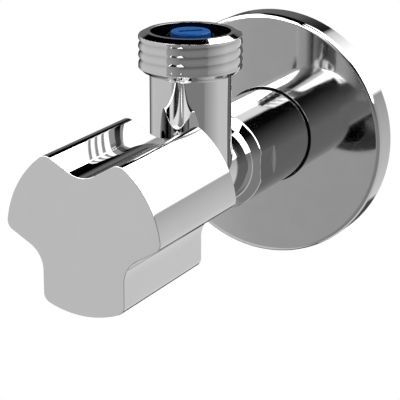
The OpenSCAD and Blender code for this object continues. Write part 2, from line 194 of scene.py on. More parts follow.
def rounded(corners, closed=True):
    """A profile through corners (a, b, rounding): each corner becomes an arc tangent to both of its
    sides, and one more point just beside each end of the arc keeps the straight stretches straight. A
    rounding that is too large for its sides is made to fit."""
    corners = [(float(a), float(b), float(r)) for a, b, r in corners]
    count = len(corners)
    points = []
    for k, (a, b, radius) in enumerate(corners):
        here = np.array([a, b])
        inner_corner = closed or 0 < k < count - 1
        if radius == 0 or not inner_corner:
            points.append(here)
            continue
        before = np.array(corners[k - 1][:2]) - here
        after = np.array(corners[(k + 1) % count][:2]) - here
        before_len = np.linalg.norm(before)
        after_len = np.linalg.norm(after)
        u = before / before_len
        v = after / after_len
        turn = math.pi - math.acos(np.clip(u @ v, -1, 1))
        longest = ARC_SHARE * min(before_len, after_len)
        reach = min(radius * math.tan(turn / 2), longest)
        radius = reach / math.tan(turn / 2)
        middle = (u + v) / np.linalg.norm(u + v)
        centre = here + middle * radius / math.cos(turn / 2)
        start = here + u * reach - centre
        side = -u * radius
        angles = np.linspace(0, turn, max(3, int(math.degrees(turn) / ARC_STEP) + 2))
        arc = centre + np.outer(np.cos(angles), start) + np.outer(np.sin(angles), side)
        if before_len - reach > 3 * SUPPORT:
            points.append(here + u * (reach + SUPPORT))
        points.extend(arc)
        if after_len - reach > 3 * SUPPORT:
            points.append(here + v * (reach + SUPPORT))
    return np.array(points)


def refined(points, low, high, longest):
    """The same profile with more points: stretches whose first coordinate lies between low and high
    are divided evenly so that none is longer than longest."""
    result = [points[0]]
    for start, end in zip(points[:-1], points[1:]):
        inside = low - 1e-6 <= min(start[0], end[0]) and max(start[0], end[0]) <= high + 1e-6
        parts = max(1, math.ceil(np.linalg.norm(end - start) / longest)) if inside else 1
        result.extend(start + (end - start) * k / parts for k in range(1, parts + 1))
    return np.array(result)


def skin(rings, loop=False):
    """Points and faces of the closed surface through rings of points, n rings of m points each. Each
    ring joins the next; with loop the last joins the first, else both ends close on their middles."""
    n, m = rings.shape[:2]
    points = rings.reshape(-1, 3)
    across = np.arange(n if loop else n - 1)[:, None]
    around = np.arange(m)[None, :]
    here = across * m
    there = (across + 1) % n * m
    beside = (around + 1) % m
    corners = (here + around, here + beside, there + beside, there + around)
    quads = np.stack(corners, -1).reshape(-1, 4)
    if loop:
        return points, quads, np.zeros((0, 3), int)
    ends = np.array([rings[0].mean(0), rings[-1].mean(0)])
    ring = np.arange(m)
    first = np.stack([np.full(m, n * m), (ring + 1) % m, ring], -1)
    last = np.stack([np.full(m, n * m + 1), (n - 1) * m + ring, (n - 1) * m + (ring + 1) % m], -1)
    return np.vstack([points, ends]), quads, np.vstack([first, last])


def enclosed(points, quads, triangles):
    """Signed volume of a closed surface, positive where its faces point outwards: the sum of the
    tetrahedra between the origin and each triangle."""
    halves = np.vstack([quads[:, [0, 1, 2]], quads[:, [0, 2, 3]], triangles])
    a, b, c = (points[halves[:, k]] for k in range(3))
    return np.einsum("ij,ij->", a, np.cross(b, c)) / 6


def make_piece(name, skins, body, material, replaced):
    """Puts one or more closed surfaces, given in millimetres, into one smooth mesh whose faces point
    outwards. The piece rides on a body, takes a slot's finish and stands for the replaced nodes."""
    points_all = []
    faces_all = []
    start = 0
    for points, quads, triangles in skins:
        if enclosed(points, quads, triangles) < 0:
            quads = quads[:, ::-1]
            triangles = triangles[:, ::-1]
        points_all.append(points * MM)
        faces_all.append((quads + start, triangles + start))
        start += len(points)
    points = np.vstack(points_all)
    quads = np.vstack([pair[0] for pair in faces_all])
    triangles = np.vstack([pair[1] for pair in faces_all])
    mesh = bpy.data.meshes.new(name)
    mesh.vertices.add(len(points))
    mesh.vertices.foreach_set("co", points.astype(np.float32).ravel())
    corners = np.concatenate([quads.ravel(), triangles.ravel()])
    mesh.loops.add(len(corners))
    mesh.loops.foreach_set("vertex_index", corners.astype(np.int32))
    starts = np.concatenate([np.arange(len(quads)) * 4, 4 * len(quads) + np.arange(len(triangles)) * 3])
    mesh.polygons.add(len(starts))
    mesh.polygons.foreach_set("loop_start", starts.astype(np.int32))
    mesh.polygons.foreach_set("use_smooth", np.ones(len(starts), bool))
    mesh.update(calc_edges=True)
    mesh.validate()
    mesh.materials.append(material)
    piece = bpy.data.objects.new(name, mesh)
    bpy.context.scene.collection.objects.link(piece)
    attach(piece, body)
    for node in replaced:
        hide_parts(node)
    return piece


def around_body(distance, radius, angles):
    """Points at the given distances from the wall and radii from the body's axis; angles start at +X
    and turn towards +Z."""
    distance, radius, angles = np.broadcast_arrays(distance, radius, angles)
    return np.stack([radius * np.cos(angles), -distance, radius * np.sin(angles)], -1)


def around_outlet(height, radius, angles):
    """Points at the given heights and radii from the outlet's axis; angles start at +X and turn
    towards +Y."""
    height, radius, angles = np.broadcast_arrays(height, radius, angles)
    return np.stack([radius * np.cos(angles), -OUTLET_REACH + radius * np.sin(angles), height], -1)


def even_angles(count):
    """Angles evenly spaced over a full turn, the first at 0."""
    return np.arange(count) * FULL / count


def thread_dip(offset):
    """Depth below the crest of a pipe thread with round crests. The offset wraps every pitch, to count
    from the nearest crest, and the depth follows an arc: THREAD_CURVE minus the root of its square less
    the square of the offset."""
    offset = np.abs((offset + PITCH / 2) % PITCH - PITCH / 2)
    return THREAD_CURVE - np.sqrt(THREAD_CURVE ** 2 - offset ** 2)


def barrel_rings():
    """The body from the wall's thread to the barrel's front face, with its bore, as one turned skin: a
    closed profile carried round the body's axis. The thread dips the radius along a helix, and the
    wrench flats hold x between two planes."""
    barrel = [(BODY_FRONT, SOCKET_R, 0.15), (BODY_FRONT, BARREL_R, 0.4)]
    barrel += [(SHOULDER_END, BARREL_R, SHOULDER_CURVE)]

    # the chamfer has points close together where the flats meet it, and the shank where they begin
    flat_corner = FLAT_HALF + 0.002
    chamfer_slope = (SHOULDER_END - SHANK_END) / (SHANK_R - BARREL_R)
    chamfer_r = (flat_corner - SUPPORT, flat_corner, flat_corner + SUPPORT)
    shank = [(SHANK_END + (SHANK_R - r) * chamfer_slope, r, 0) for r in chamfer_r]
    shank += [(SHANK_END, SHANK_R, 0.5)]
    flat_steps = (0.06, 0.03, 0.02, 0, -0.01, -0.03, -0.06)
    shank += [(FLAT_BACK + step, SHANK_R, 0) for step in flat_steps]

    inlet = [(UNDERCUT_FRONT, SHANK_R, 0.1), (UNDERCUT_FRONT - UNDERCUT_SLOPE, UNDERCUT_R, 0.2)]
    inlet += [(UNDERCUT_BACK + UNDERCUT_SLOPE, UNDERCUT_R, 0.2), (UNDERCUT_BACK, THREAD_R, 0.05)]
    inlet += [(INLET_END + INLET_CHAMFER, THREAD_R, 0.1), (INLET_END, THREAD_R - INLET_CHAMFER, 0.1)]

    rim_r = SEAT_R + SEAT_WIDTH
    seat_foot = SEAT_FACE - SEAT_HEIGHT
    bore = [(INLET_END, CHAMBER_R, 0.3), (SEAT_BACK - SEAT_RAMP, CHAMBER_R, 0.2)]
    bore += [(SEAT_BACK, SEAT_R, 0.2), (SEAT_FACE, SEAT_R, 0.1), (SEAT_FACE, rim_r, 0.1)]
    bore += [(seat_foot, rim_r + SEAT_TAPER, 0.1), (seat_foot, CHAMBER_R, 0.1)]
    bore += [(SOCKET_BACK, CHAMBER_R, 0.1), (SOCKET_BACK, SOCKET_R, 0.1)]

    section = rounded(barrel + shank + inlet + bore)
    mouth = np.argmax((section[:, 0] < INLET_END + 0.3) & (section[:, 1] < CHAMBER_R + 0.5))
    outside = refined(section[:mouth], INLET_END, UNDERCUT_BACK, longest=0.13)
    profile = np.vstack([outside, section[mouth:]])
    thread_stop = UNDERCUT_BACK + UNDERCUT_SLOPE / 2
    threaded = (np.arange(len(profile)) < len(outside)) & (profile[:, 0] < thread_stop)

    # besides the even angles there are three close together at each long edge of the flats
    flat_turn = math.acos(FLAT_HALF / SHANK_R)
    flat_edges = (-flat_turn, flat_turn, math.pi - flat_turn, math.pi + flat_turn)
    beside_edges = np.mod(np.add.outer(flat_edges, (-0.005, 0, 0.005)).ravel(), FULL)
    angles = np.unique(np.round(np.concatenate([even_angles(AROUND_BODY), beside_edges]), 6))

    distance = profile[:, 0][:, None]
    radius = profile[:, 1][:, None]
    thread = THREAD_R - thread_dip(distance - PITCH * angles / FULL)
    radius = np.where(threaded[:, None], np.minimum(radius, thread), radius)
    rings = around_body(distance, radius, angles)

    # hold goes from 0 behind the flats to 1 along them
    hold = np.clip((distance - (FLAT_BACK - 0.01)) / 0.03, 0, 1)
    held = np.clip(rings[:, :, 0], -FLAT_HALF, FLAT_HALF)
    rings[:, :, 0] += hold * (held - rings[:, :, 0])
    return rings


def tee_rings(angles):
    """The rounding between neck and barrel: the path of a ball of radius TEE_CURVE that rolls along the
    corner and touches both. The rings go from where it touches the barrel, with one more sunk into the
    barrel's metal before them, to where it touches the neck."""
    reach = NECK_R + TEE_CURVE
    across = reach * np.cos(angles)
    centre_d = OUTLET_REACH - reach * np.sin(angles)
    centre_r = BARREL_R + TEE_CURVE
    centre_z = np.sqrt(centre_r ** 2 - across ** 2)
    centre = np.stack([across, -centre_d, centre_z], -1)
    from_barrel = np.stack([across / centre_r, np.zeros_like(across), centre_z / centre_r], -1)
    from_neck = np.stack([np.cos(angles), np.sin(angles), np.zeros_like(angles)], -1)
    between = np.arccos(np.einsum("ij,ij->i", from_barrel, from_neck))[:, None]
    share = np.linspace(0, 1, 15)[:, None, None]
    blend = np.sin((1 - share) * between) * from_barrel + np.sin(share * between) * from_neck
    rings = centre - TEE_CURVE * blend / np.sin(between)
    sunk = (centre - (TEE_CURVE + TEE_SUNK) * from_barrel)[None]
    return np.vstack([sunk, rings])


def outlet_rings():
    """The upright neck with its thread and its bore: the tee's rounding, the turned outside with its
    helical thread, the flat rim, the bore down to the feed, and a foot inside the barrel's metal. The
    thread's lowest turn runs out into the collar below it."""
    angles = even_angles(AROUND_OUTLET)
    tee = tee_rings(angles)
    tee_top = tee[-1, :, 2]
    neck_end = NECK_TOP - 1
    lift = np.linspace(0.04, 1, 6)[:, None]
    neck = around_outlet(tee_top + (neck_end - 0.1 - tee_top) * lift, NECK_R, angles)
    outer = [(neck_end, NECK_R, 0), (NECK_TOP, NECK_R, 0.35), (COLLAR_Z, COLLAR_R, 0.12)]
    outer += [(THREAD_BOTTOM, THREAD_R, 0.1), (THREAD_TOP, THREAD_R, 0.06), (OUTLET_TOP, RIM_R, 0.06)]
    inner = [(OUTLET_TOP, BORE_R, 0.1)]
    inner += [(CLIP_GROOVE_TOP, BORE_R, 0.04), (CLIP_GROOVE_TOP, CLIP_GROOVE_R, 0.04)]
    inner += [(CLIP_GROOVE_BOTTOM, CLIP_GROOVE_R, 0.04), (CLIP_GROOVE_BOTTOM, BORE_R, 0.04)]
    inner += [(LEDGE_Z, BORE_R, 0.1), (LEDGE_Z, CARTRIDGE_R, 0.1), (CARTRIDGE_Z, CARTRIDGE_R, 0.1)]
    inner += [(CARTRIDGE_Z, FEED_R, 0.1), (FEED_Z, FEED_R, 0)]
    profile = rounded(outer + inner, closed=False)
    rim = np.argmax((profile[:, 0] > OUTLET_TOP - 0.01) & (profile[:, 1] < RIM_R - 0.04))
    fine = refined(profile[:rim], NECK_TOP - 0.1, OUTLET_TOP, longest=0.05)
    height = np.concatenate([fine[:, 0], profile[rim:, 0]])[:, None]
    radius = np.concatenate([fine[:, 1], profile[rim:, 1]])[:, None]
    crest = CREST_Z + PITCH * (angles - CREST_TURN) / FULL
    depth = np.clip((height - (THREAD_BOTTOM + 0.1)) / RUN_OUT, 0, 1)
    thread = THREAD_R - thread_dip(height - crest) * depth
    threaded = (np.arange(len(height)) < len(fine))[:, None]
    radius = np.where(threaded, np.minimum(radius, thread), radius)
    turned = around_outlet(height, radius, angles)
    foot_x = FEED_R * np.cos(angles)
    foot = around_outlet(np.sqrt(FOOT_R ** 2 - foot_x ** 2), FEED_R, angles)[None]
    return np.vstack([tee, neck, turned, foot])


def arc_points(centre, radius, start, end, count):
    """Points of an arc from one angle to another, and the directions away from its centre."""
    angles = np.linspace(start, end, count)
    away = np.stack([np.cos(angles), np.sin(angles)], -1)
    return centre + radius * away, away


def handle_outline():
    """The handle's section and its outward directions. Each of the three lobes has an end of long
    radius, two round corners and two flat sides, and round-bottomed grooves join the flat sides."""
    sixty = math.pi / 3
    groove_curve = (GROOVE_R * math.sin(sixty) - LOBE_HALF) / (1 - math.sin(sixty))
    groove = (GROOVE_R + groove_curve) * np.array([math.cos(sixty), math.sin(sixty)])
    lobe = np.array([LOBE_REACH - LOBE_CURVE, 0.0])
    corner_y = LOBE_HALF - LOBE_CORNER
    corner_x = lobe[0] + math.sqrt((LOBE_CURVE - LOBE_CORNER) ** 2 - corner_y ** 2)
    corner = np.array([corner_x, corner_y])
    turn = math.atan2(corner_y, corner_x - lobe[0])
    below = np.array([1, -1])
    side = np.array([[0.0, 1.0]])
    near = np.array([[groove[0] + SUPPORT, LOBE_HALF]])
    far = np.array([[corner_x - SUPPORT, LOBE_HALF]])
    hollow, hollow_away = arc_points(groove * below, groove_curve, 2 * sixty, QUARTER, 14)
    parts = [(hollow, -hollow_away), (near * below, side * below), (far * below, side * below)]
    parts.append(arc_points(corner * below, LOBE_CORNER, -QUARTER, -turn, 18))
    end, end_away = arc_points(lobe, LOBE_CURVE, -turn, turn, 24)
    parts.append((end[1:-1], end_away[1:-1]))
    parts.append(arc_points(corner, LOBE_CORNER, turn, QUARTER, 18))
    parts += [(far, side), (near, side)]
    hollow, hollow_away = arc_points(groove, groove_curve, -QUARTER, -2 * sixty, 14)
    parts.append((hollow[:-1], -hollow_away[:-1]))
    points = np.vstack([part[0] for part in parts])
    away = np.vstack([part[1] for part in parts])
    outline = []
    directions = []
    for k in range(3):
        angle = LOBE_TURN + FULL * k / 3
        spin = np.array([[math.cos(angle), math.sin(angle)], [-math.sin(angle), math.cos(angle)]])
        outline.append(points @ spin)
        directions.append(away @ spin)
    return np.vstack(outline), np.vstack(directions)


def handle_rings():
    """The handle's shell as rings of one outline: its face, the round edge, straight walls, the open
    rear, and the hollow that has a round middle and one round pocket in each lobe. An outer ring is the
    outline moved inwards by an inset, and a ring of the hollow gives a radius to each angle."""
    outline, away = handle_outline()
    turns = np.arctan2(outline[:, 1], outline[:, 0])
    from_lobe = (turns - LOBE_TURN + FULL / 6) % (FULL / 3) - FULL / 6
    side = np.abs(POCKET_CENTRE * np.sin(from_lobe))
    pocket = POCKET_CENTRE * np.cos(from_lobe) + np.sqrt(np.maximum(POCKET_R ** 2 - side ** 2, 0))
    hollow_r = np.where(side < POCKET_R, np.maximum(pocket, CAVITY_R), CAVITY_R)

    def outer(inset, distance, share=1.0):
        shape = (outline - inset * away) * share
        return on_body(shape[:, 0], shape[:, 1], distance)

    def bend(edge, angle, start, direction):
        return outer(edge * (1 - math.cos(angle)), start + direction * edge * (1 - math.sin(angle)))

    def hollow(radius, distance):
        return around_body(distance, radius, turns)

    inwards = np.linspace(QUARTER, 0, 9)
    rings = [outer(FACE_EDGE + SUPPORT, FACE, 0.5), outer(FACE_EDGE + SUPPORT, FACE)]
    rings += [bend(FACE_EDGE, angle, FACE, -1) for angle in inwards]
    rings += [outer(0, FACE - FACE_EDGE - SUPPORT), outer(0, HANDLE_BACK + REAR_EDGE + SUPPORT)]
    rings += [bend(REAR_EDGE, angle, HANDLE_BACK, 1) for angle in inwards[::-1]]
    rings += [outer(REAR_EDGE + SUPPORT, HANDLE_BACK)]
    rings += [hollow(hollow_r + edge, HANDLE_BACK) for edge in (MOUTH_EDGE + SUPPORT, MOUTH_EDGE)]
    rings += [hollow(hollow_r, HANDLE_BACK + edge) for edge in (MOUTH_EDGE, MOUTH_EDGE + SUPPORT)]
    rings += [hollow(hollow_r, POCKET_FRONT - edge) for edge in (FLOOR_EDGE + SUPPORT, FLOOR_EDGE)]
    rings += [hollow(np.maximum(hollow_r - FLOOR_EDGE, CAVITY_R), POCKET_FRONT)]
    rings += [hollow(CAVITY_R + 0.001, POCKET_FRONT + 0.001), hollow(CAVITY_R, POCKET_FRONT + SUPPORT)]
    rings += [hollow(CAVITY_R, CAVITY_FRONT - FLOOR_EDGE), hollow(CAVITY_R - FLOOR_EDGE, CAVITY_FRONT)]
    rings += [hollow(CAVITY_R - FLOOR_EDGE - 0.05, CAVITY_FRONT), hollow(CAVITY_R * 0.3, CAVITY_FRONT)]
    return np.array(rings)


def turned_loop(corners, place, count=AROUND_RING):
    """A closed turned ring: a rounded section carried once round the axis that place uses."""
    section = rounded(corners)
    return skin(place(section[:, 0][:, None], section[:, 1][:, None], even_angles(count)), loop=True)


def on_body(x, z, distance):
    """Points at x and z from the body's axis and at a distance from the wall."""
    return np.stack(np.broadcast_arrays(x, -distance, z), -1)


def on_outlet(x, y, height):
    """Points at x and y from the outlet's axis and at a height."""
    return np.stack(np.broadcast_arrays(x, y - OUTLET_REACH, height), -1)


def bar(start, end, half_width, low, high, angle, place):
    """A rounded bar that runs straight out from an axis: a rectangle with round corners carried from
    one radius to another. place turns two measures across the axis and one along it into points."""
    across, level = rounded([(-half_width, low, BAR_EDGE), (half_width, low, BAR_EDGE),
                             (half_width, high, BAR_EDGE), (-half_width, high, BAR_EDGE)]).T
    along = np.array([start, start + SUPPORT, end - SUPPORT, end])[:, None]
    x = along * math.cos(angle) - across * math.sin(angle)
    y = along * math.sin(angle) + across * math.cos(angle)
    return skin(place(x, y, level))


def slot_outline(length, width, corner, count):
    """Points evenly spaced along a rectangle with round corners, from the middle of one short side."""
    box = rounded([(length / 2, width / 2, corner), (-length / 2, width / 2, corner),
                   (-length / 2, -width / 2, corner), (length / 2, -width / 2, corner)])
    box = np.vstack([[length / 2, 0], box, [length / 2, 0]])
    steps = np.concatenate([[0], np.cumsum(np.linalg.norm(np.diff(box, axis=0), axis=1))])
    wanted = np.arange(count) * steps[-1] / count
    return np.stack([np.interp(wanted, steps, box[:, 0]), np.interp(wanted, steps, box[:, 1])], -1)


def cage_hub_rings():
    """The blue hub: from the floor of its screwdriver slot up the slot's walls, over the flat top, down
    the round side and up its bore. Each ring is the slot's outline or a circle, turned by SLOT_TURN at
    one height, so every ring keeps the slot's direction."""
    angles = even_angles(AROUND_HUB)
    circle = np.stack([np.cos(angles), np.sin(angles)], -1)

    def slot(wider, corner):
        return slot_outline(SLOT_LENGTH + 2 * wider, SLOT_WIDTH + 2 * wider, corner, AROUND_HUB)

    def level(shape, height):
        x = shape[:, 0] * math.cos(SLOT_TURN) - shape[:, 1] * math.sin(SLOT_TURN)
        y = shape[:, 0] * math.sin(SLOT_TURN) + shape[:, 1] * math.cos(SLOT_TURN)
        return on_outlet(x, y, height)

    def disc(radius, height):
        return level(circle * radius, height)

    top = CAGE_HUB_TOP
    foot = CAGE_HUB_BOTTOM
    floor = top - SLOT_DEPTH
    narrow = slot(0, SLOT_CORNER)
    lip = slot(SLOT_LIP, SLOT_CORNER + 0.05)
    beside_lip = slot(SLOT_LIP + SUPPORT, SLOT_CORNER + 0.05 + SUPPORT)
    rings = [level(narrow * 0.2, floor), level(narrow * 0.95, floor), level(narrow, floor + SLOT_FOOT)]
    rings += [level(narrow, top - SLOT_LIP - SUPPORT)]
    for angle in np.linspace(0, QUARTER, 5):
        shape = narrow + (lip - narrow) * (1 - math.cos(angle))
        rings.append(level(shape, top - SLOT_LIP * (1 - math.sin(angle))))
    rings += [level(beside_lip, top), disc(CAGE_HUB_R - CAGE_HUB_EDGE - SUPPORT, top)]
    for angle in np.linspace(QUARTER, 0, 9):
        radius = CAGE_HUB_R - CAGE_HUB_EDGE * (1 - math.cos(angle))
        rings.append(disc(radius, top - CAGE_HUB_EDGE * (1 - math.sin(angle))))
    rings += [disc(CAGE_HUB_R, top - CAGE_HUB_EDGE - SUPPORT)]
    rings += [disc(CAGE_HUB_R, foot + edge) for edge in (CAGE_HUB_FOOT + SUPPORT, CAGE_HUB_FOOT)]
    rings += [disc(CAGE_HUB_R - edge, foot) for edge in (CAGE_HUB_FOOT, CAGE_HUB_FOOT + SUPPORT)]
    rings += [disc(CAGE_HUB_BORE + BORE_EDGE, foot)]
    rings += [disc(CAGE_HUB_BORE, foot + edge) for edge in (BORE_EDGE, BORE_EDGE + SUPPORT)]
    rings += [disc(CAGE_HUB_BORE, CAGE_HUB_ROOF - BORE_EDGE)]
    rings += [disc(CAGE_HUB_BORE - BORE_EDGE, CAGE_HUB_ROOF), disc(0.5, CAGE_HUB_ROOF)]
    return np.array(rings)


def spring_rings(low, high):
    """The check valve's spring between two heights: a circle of wire carried along a helix about the
    outlet's axis. Over its length the wire's middle goes round SPRING_TURNS times and rises evenly from
    one wire radius above the low end to one below the high end."""
    share = np.linspace(0, 1, SPRING_TURNS * 40 + 1)[:, None]
    side = even_angles(16)
    height = low + WIRE_R + (high - low - 2 * WIRE_R) * share + WIRE_R * np.sin(side)
    return around_outlet(height, SPRING_R + WIRE_R * np.cos(side), FULL * SPRING_TURNS * share)


class Shader:
    """A material's or the world's nodes, with short calls for the ones that this script uses."""

    def __init__(self, tree):
        self.tree = tree

    def add(self, kind, **settings):
        """A new node with these settings."""
        node = self.tree.nodes.new(kind)
        for key, value in settings.items():
            setattr(node, key, value)
        return node

    def set(self, socket, value):
        """Gives a socket a plain value, or a link where the value is another node's socket."""
        if isinstance(value, bpy.types.NodeSocket):
            self.tree.links.new(value, socket)
        else:
            socket.default_value = value

    def math(self, operation, first, second=0.0):
        """What an operation makes of one or two values."""
        node = self.add("ShaderNodeMath", operation=operation)
        self.set(node.inputs[0], first)
        self.set(node.inputs[1], second)
        return node.outputs[0]

    def product(self, first, second):
        """One value times another."""
        return self.math("MULTIPLY", first, second)

    def length(self, first, second):
        """The longest side of a right triangle with these two others."""
        squares = self.math("ADD", self.product(first, first), self.product(second, second))
        return self.math("SQRT", squares)

    def sides(self, arrow):
        """The x, y and z of a vector."""
        node = self.add("ShaderNodeSeparateXYZ")
        self.set(node.inputs[0], arrow)
        return node.outputs

    def spread(self, value, low, high, to_low=0.0, to_high=1.0):
        """The value carried from the range low to high to another range, and held at its ends."""
        node = self.add("ShaderNodeMapRange")
        for k, part in enumerate((value, low, high, to_low, to_high)):
            self.set(node.inputs[k], part)
        return node.outputs[0]

    def noise(self, place, scale, detail=3.0):
        """Soft random spots, from 0 to 1, with so many to the metre."""
        node = self.add("ShaderNodeTexNoise")
        self.set(node.inputs["Vector"], place)
        self.set(node.inputs["Scale"], scale)
        self.set(node.inputs["Detail"], detail)
        return node.outputs["Fac"]

    def mix(self, share, first, second):
        """Two colours or directions mixed, with this share of the second."""
        node = self.add("ShaderNodeMix", data_type="RGBA")
        self.set(node.inputs["Factor"], share)
        self.set(node.inputs["A"], first)
        self.set(node.inputs["B"], second)
        return node.outputs["Result"]


def grey(value):
    """An even colour of this brightness."""
    return (value, value, value, 1.0)


def start_material(name, metallic=0.0):
    """A new material with its Principled shader, and the coordinates of its object."""
    material = bpy.data.materials.new(name)
    material.use_nodes = True
    shader = Shader(material.node_tree)
    surface = material.node_tree.nodes["Principled BSDF"]
    surface.inputs["Metallic"].default_value = metallic
    place = shader.add("ShaderNodeTexCoord").outputs["Object"]
    return material, shader, surface, place


def add_bump(shader, surface, height):
    """Fine relief on a surface, a hundredth of a millimetre deep."""
    bump = shader.add("ShaderNodeBump")
    bump.inputs["Distance"].default_value = 0.01 * MM
    shader.set(bump.inputs["Height"], height)
    shader.set(surface.inputs["Normal"], bump.outputs["Normal"])


def chrome_material():
    """Polished chrome plate: nearly sharp, with a faint cloudiness from wiping. On the outlet's thread
    the valleys are darkened towards their bottom as painted shade, and the shading normal leans from
    the mesh's towards the outward direction, which softens the reflections as polishing does. The
    outlet's bore is darkened as painted shade."""
    material, shader, surface, place = start_material("polished_chrome", 1.0)
    x, y, z = shader.sides(place)
    forward = shader.math("ADD", y, OUTLET_REACH * MM)
    radius = shader.length(x, forward)
    above_collar = shader.math("GREATER_THAN", z, (THREAD_BOTTOM + 0.05) * MM)
    below_rim = shader.math("LESS_THAN", z, (THREAD_TOP - 0.05) * MM)
    outside = shader.math("GREATER_THAN", radius, (THREAD_R - 0.7) * MM)
    thread = shader.product(outside, shader.product(above_collar, below_rim))
    # painted shade: the thread's valleys get a darker base colour towards their bottom
    painted_valley_shade = shader.spread(radius, (THREAD_R - 0.45) * MM, (THREAD_R - 0.02) * MM, 1.0, 0.0)
    # painted shade: inside the outlet's bore the chrome's base colour is made dark
    inside = shader.spread(radius, (BORE_R + 0.02) * MM, (BORE_R + 0.06) * MM, 1.0, 0.0)
    bore = shader.product(inside, above_collar)

    cloud = shader.noise(place, 160.0)
    tone = shader.mix(shader.spread(cloud, 0.3, 0.7), grey(0.545), grey(0.556))
    # painted shade in the thread's valleys
    tone = shader.mix(shader.product(painted_valley_shade, thread), tone, grey(0.44))
    # painted shade inside the bore
    tone = shader.mix(bore, tone, grey(0.14))
    shader.set(surface.inputs["Base Color"], tone)
    wipe = shader.noise(place, 900.0, 4.0)
    shader.set(surface.inputs["Roughness"], shader.spread(wipe, 0.35, 0.7, 0.025, 0.045))

    outward = shader.add("ShaderNodeCombineXYZ")
    shader.set(outward.inputs["X"], shader.math("DIVIDE", x, radius))
    shader.set(outward.inputs["Y"], shader.math("DIVIDE", forward, radius))
    facing = shader.add("ShaderNodeNewGeometry").outputs["Normal"]
    wear = 0.8
    leaning = shader.mix(shader.product(thread, wear), facing, outward.outputs[0])
    normal = shader.add("ShaderNodeVectorMath", operation="NORMALIZE")
    shader.set(normal.inputs[0], leaning)
    shader.set(surface.inputs["Normal"], normal.outputs[0])
    return material


def plate_material():
    """The wall plate's chrome: its pressed face is duller than its rim, and its side is darker."""
    material, shader, surface, place = start_material("plate_chrome", 1.0)
    split = shader.sides(place)
    radius = shader.length(split["X"], split["Z"])
    face_r = PLATE_R - PLATE_EDGE
    face = shader.spread(radius, (face_r - 0.3) * MM, (face_r + 0.3) * MM, 1.0, 0.0)
    side = shader.spread(radius, (PLATE_R - 0.10) * MM, (PLATE_R - 0.02) * MM)
    cloud = shader.noise(place, 220.0)
    clear = shader.mix(shader.spread(cloud, 0.3, 0.7), grey(0.54), grey(0.56))
    shader.set(surface.inputs["Base Color"], shader.mix(side, clear, grey(0.40)))
    wipe = shader.noise(place, 700.0, 4.0)
    soft = shader.spread(wipe, 0.35, 0.7, 0.05, 0.075)
    shader.set(surface.inputs["Roughness"], shader.spread(face, 0.0, 1.0, 0.035, soft))
    return material


def turned_metal(name, colour, dark, roughness):
    """Turned and unplated metal: fine rings along the axis of the tool, and slow stains."""
    material, shader, surface, place = start_material(name, 1.0)
    stain = shader.noise(place, 240.0)
    shader.set(surface.inputs["Base Color"], shader.mix(shader.spread(stain, 0.35, 0.7), colour, dark))
    grain = shader.noise(place, 2600.0, 2.0)
    rough = shader.spread(grain, 0.3, 0.7, roughness - 0.06, roughness + 0.08)
    shader.set(surface.inputs["Roughness"], rough)
    wave = shader.add("ShaderNodeTexWave", bands_direction="Y")
    shader.set(wave.inputs["Vector"], place)
    wave.inputs["Scale"].default_value = 900.0
    wave.inputs["Distortion"].default_value = 1.2
    add_bump(shader, surface, wave.outputs["Fac"])
    return material


def plastic(name, colour, dark, roughness, grain_scale=2200.0):
    """Moulded plastic: even colour with slow flow marks and a fine satin grain."""
    material, shader, surface, place = start_material(name)
    flow = shader.noise(place, 260.0, 2.0)
    shader.set(surface.inputs["Base Color"], shader.mix(shader.spread(flow, 0.35, 0.7), colour, dark))
    grain = shader.noise(place, grain_scale, 2.0)
    rough = shader.spread(grain, 0.3, 0.7, roughness - 0.05, roughness + 0.07)
    shader.set(surface.inputs["Roughness"], rough)
    add_bump(shader, surface, grain)
    return material


